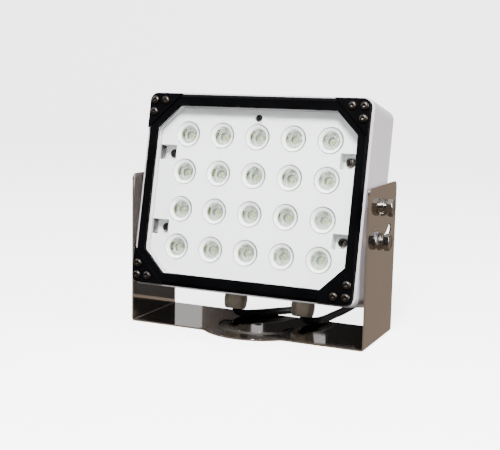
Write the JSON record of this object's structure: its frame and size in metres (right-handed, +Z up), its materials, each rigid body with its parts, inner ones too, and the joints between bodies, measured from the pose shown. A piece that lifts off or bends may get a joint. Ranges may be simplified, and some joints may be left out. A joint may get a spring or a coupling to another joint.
{
  "type": "infrared illuminator",
  "caption": "Box-shaped infrared flood light with a square lens array behind glass, tilting between the arms of a polished U bracket, with two cable glands and cables",
  "frame": {"origin": "centre of the swivel hole in the bracket's base, on the underside that meets the mounting surface", "axes": "+Z up out of the base along the swivel hole, -Y the way the lit face looks, +X to the right of a viewer who faces the lit side"},
  "size_m": [0.2416, 0.2768, 0.2095],
  "materials": {
    "polished_stainless": "mirror-polished stainless sheet",
    "white_paint": "semi-gloss white powder coat on cast aluminium",
    "black_paint": "satin black coat on aluminium",
    "clear_glass": "clear toughened glass",
    "black_rubber": "matte black silicone rubber",
    "white_silicone": "white silicone rubber",
    "stainless_screws": "turned and stamped stainless steel",
    "white_panel": "matte off-white moulded tray",
    "bare_aluminium": "plain aluminium",
    "circuit_board": "metal-core board with white solder mask",
    "emitter": "ceramic chip carrier with a clear cap",
    "clear_lens": "clear moulded acrylic",
    "beige_nylon": "grey-beige moulded nylon",
    "cable_jacket": "smooth black cable jacket",
    "dark_plastic": "dark moulded plastic"
  },
  "bodies": {
    "bracket": {"bracket": "polished_stainless", "cable_left_coil": "cable_jacket", "cable_left_run": "cable_jacket", "cable_right_coil": "cable_jacket", "cable_right_run": "cable_jacket"},
    "head": {"cable_left_bend": "cable_jacket", "cable_left_inner": "cable_jacket", "cable_right_bend": "cable_jacket", "cable_right_inner": "cable_jacket", "carrier_plate": "bare_aluminium", "corner_plate_bottom_left": "black_paint", "corner_plate_bottom_right": "black_paint", "corner_plate_top_left": "black_paint", "corner_plate_top_right": "black_paint", "corner_screws": "stainless_screws", "driver": "bare_aluminium", "driver_screws": "stainless_screws", "flat_washers": "stainless_screws", "front_frame": "black_paint", "front_glass": "clear_glass", "gland_body_left": "beige_nylon", "gland_body_right": "beige_nylon", "gland_locknuts": "beige_nylon", "gland_nut_left": "beige_nylon", "gland_nut_right": "beige_nylon", "gland_seals": "black_rubber", "glass_gasket": "white_silicone", "housing": "white_paint", "led_board": "circuit_board", "leds": "emitter", "lens_panel": "white_panel", "lens_row1_column1": "clear_lens", "lens_row1_column2": "clear_lens", "lens_row1_column3": "clear_lens", "lens_row1_column4": "clear_lens", "lens_row1_column5": "clear_lens", "lens_row2_column1": "clear_lens", "lens_row2_column2": "clear_lens", "lens_row2_column3": "clear_lens", "lens_row2_column4": "clear_lens", "lens_row2_column5": "clear_lens", "lens_row3_column1": "clear_lens", "lens_row3_column2": "clear_lens", "lens_row3_column3": "clear_lens", "lens_row3_column4": "clear_lens", "lens_row3_column5": "clear_lens", "lens_row4_column1": "clear_lens", "lens_row4_column2": "clear_lens", "lens_row4_column3": "clear_lens", "lens_row4_column4": "clear_lens", "lens_row4_column5": "clear_lens", "light_sensor": "dark_plastic", "panel_screws": "stainless_screws", "rear_cover": "white_paint", "rear_cover_screws": "stainless_screws", "rear_gasket": "black_rubber", "side_bolts": "stainless_screws", "spring_washers": "stainless_screws", "terminal_block": "dark_plastic"}
  },
  "joints": [
    {"name": "head_tilt", "type": "hinge", "parent": "bracket", "child": "head", "pos_m": [0, 0.005, 0.1169], "axis": [1, 0, 0], "range_deg": [-33.3, 56.6], "deforming": ["cable_left_bend", "cable_right_bend"]}
  ]
}
